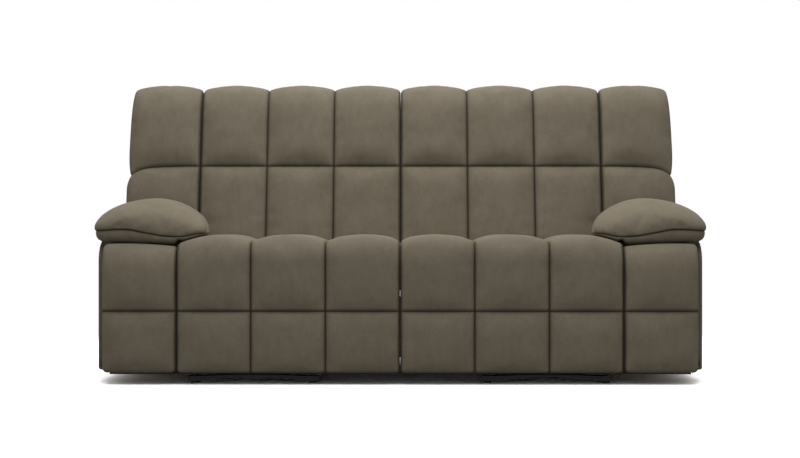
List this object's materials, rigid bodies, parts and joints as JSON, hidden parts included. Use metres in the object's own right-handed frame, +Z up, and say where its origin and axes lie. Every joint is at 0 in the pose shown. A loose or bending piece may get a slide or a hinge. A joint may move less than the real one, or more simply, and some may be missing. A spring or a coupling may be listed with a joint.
{
  "type": "reclining sofa",
  "caption": "Reclining sofa with biscuit-tufted backs, seats and chaise footrests between pillow arms; each half reclines, glides forward and lifts its footrest.",
  "frame": {"origin": "on the floor, at the middle of the sofa's width and depth", "axes": "+Z up, +X to the viewer's right when facing the sofa, -Y towards the front"},
  "size_m": [2.1296, 1.0095, 1.0851],
  "materials": {
    "suede_fabric": "taupe suede-like microfibre",
    "black_steel": "black powder coat",
    "zinc_steel": "bright zinc plate",
    "glide_plastic": "moulded black",
    "lever_plastic": "moulded, fine texture",
    "runner_nylon": "natural nylon",
    "timber": "sawn pine",
    "plywood": "birch plywood",
    "webbing": "woven elastic"
  },
  "bodies": {
    "root": {"base_cross_tubes": "black_steel", "base_tracks": "zinc_steel", "front_arches": "black_steel", "rear_feet": "black_steel", "glide_feet": "glide_plastic", "rear_rail": "timber", "rear_valance": "suede_fabric", "arm_frame_right": "plywood", "arm_inner_panel_right": "suede_fabric", "arm_outer_panel_right": "suede_fabric", "arm_front_panel_right": "suede_fabric", "arm_rear_strip_right": "suede_fabric", "arm_pad_right": "suede_fabric", "lever_cup_right": "lever_plastic", "arm_frame_left": "plywood", "arm_inner_panel_left": "suede_fabric", "arm_outer_panel_left": "suede_fabric", "arm_front_panel_left": "suede_fabric", "arm_rear_strip_left": "suede_fabric", "arm_pad_left": "suede_fabric", "lever_cup_left": "lever_plastic"},
    "seat_right": {"seat_frame_right": "timber", "seat_webbing_right": "webbing", "seat_side_plates_right": "black_steel", "seat_runners_right": "runner_nylon", "footrest_hinge_arms_right": "black_steel", "seat_cushion_right": "suede_fabric"},
    "footrest_right": {"footrest_pad_right": "suede_fabric", "footrest_board_right": "plywood", "footrest_hinge_rod_right": "zinc_steel", "footrest_brackets_right": "black_steel"},
    "crank_right": {"crank_arms_right": "black_steel"},
    "coupler_right": {"coupler_links_right": "black_steel"},
    "back_right": {"back_frame_right": "timber", "back_webbing_right": "webbing", "lumbar_cushion_right": "suede_fabric", "head_cushion_right": "suede_fabric", "outside_back_right": "suede_fabric", "back_brackets_right": "black_steel"},
    "lever_right": {"release_lever_right": "lever_plastic"},
    "seat_left": {"seat_frame_left": "timber", "seat_webbing_left": "webbing", "seat_side_plates_left": "black_steel", "seat_runners_left": "runner_nylon", "footrest_hinge_arms_left": "black_steel", "seat_cushion_left": "suede_fabric"},
    "footrest_left": {"footrest_pad_left": "suede_fabric", "footrest_board_left": "plywood", "footrest_hinge_rod_left": "zinc_steel", "footrest_brackets_left": "black_steel"},
    "crank_left": {"crank_arms_left": "black_steel"},
    "coupler_left": {"coupler_links_left": "black_steel"},
    "back_left": {"back_frame_left": "timber", "back_webbing_left": "webbing", "lumbar_cushion_left": "suede_fabric", "head_cushion_left": "suede_fabric", "outside_back_left": "suede_fabric", "back_brackets_left": "black_steel"},
    "lever_left": {"release_lever_left": "lever_plastic"}
  },
  "joints": [
    {"name": "back_recline_right", "type": "hinge", "parent": "seat_right", "child": "back_right", "pos_m": [0.381, 0.055, 0.3], "axis": [-1, 0, 0], "range_deg": [0, 30]},
    {"name": "seat_glide_right", "type": "slide", "parent": "root", "child": "seat_right", "axis": [0, -1, 0], "range_m": [0, 0.07]},
    {"name": "footrest_open_right", "type": "hinge", "parent": "seat_right", "child": "footrest_right", "pos_m": [0.381, -0.468, 0.476], "axis": [-1, 0, 0], "range_deg": [0, 85]},
    {"name": "crank_turn_right", "type": "hinge", "parent": "seat_right", "child": "crank_right", "pos_m": [0.381, -0.32, 0.32], "axis": [-1, 0, 0], "range_deg": [0, 85]},
    {"name": "coupler_turn_right", "type": "hinge", "parent": "crank_right", "child": "coupler_right", "pos_m": [0.381, -0.226, 0.099], "axis": [-1, 0, 0], "range_deg": [-85, 0]},
    {"name": "lever_pull_right", "type": "hinge", "parent": "root", "child": "lever_right", "pos_m": [1.046, -0.244, 0.38], "axis": [0, 0, -1], "range_deg": [0, 25], "stiffness_Nm_per_rad": 1.2, "springref_deg": -17.19},
    {"name": "back_recline_left", "type": "hinge", "parent": "seat_left", "child": "back_left", "pos_m": [-0.381, 0.055, 0.3], "axis": [-1, 0, 0], "range_deg": [0, 30]},
    {"name": "seat_glide_left", "type": "slide", "parent": "root", "child": "seat_left", "axis": [0, -1, 0], "range_m": [0, 0.07]},
    {"name": "footrest_open_left", "type": "hinge", "parent": "seat_left", "child": "footrest_left", "pos_m": [-0.381, -0.468, 0.476], "axis": [-1, 0, 0], "range_deg": [0, 85]},
    {"name": "crank_turn_left", "type": "hinge", "parent": "seat_left", "child": "crank_left", "pos_m": [-0.381, -0.32, 0.32], "axis": [-1, 0, 0], "range_deg": [0, 85]},
    {"name": "coupler_turn_left", "type": "hinge", "parent": "crank_left", "child": "coupler_left", "pos_m": [-0.381, -0.226, 0.099], "axis": [-1, 0, 0], "range_deg": [-85, 0]},
    {"name": "lever_pull_left", "type": "hinge", "parent": "root", "child": "lever_left", "pos_m": [-1.046, -0.244, 0.38], "axis": [0, 0, 1], "range_deg": [0, 25], "stiffness_Nm_per_rad": 1.2, "springref_deg": -17.19}
  ],
  "couplings": [
    {"joint": "seat_glide_right", "follows": "back_recline_right", "m_per_rad": 0.13368},
    {"joint": "crank_turn_right", "follows": "footrest_open_right", "ratio": 1},
    {"joint": "coupler_turn_right", "follows": "footrest_open_right", "ratio": -1},
    {"joint": "seat_glide_left", "follows": "back_recline_left", "m_per_rad": 0.13368},
    {"joint": "crank_turn_left", "follows": "footrest_open_left", "ratio": 1},
    {"joint": "coupler_turn_left", "follows": "footrest_open_left", "ratio": -1}
  ]
}
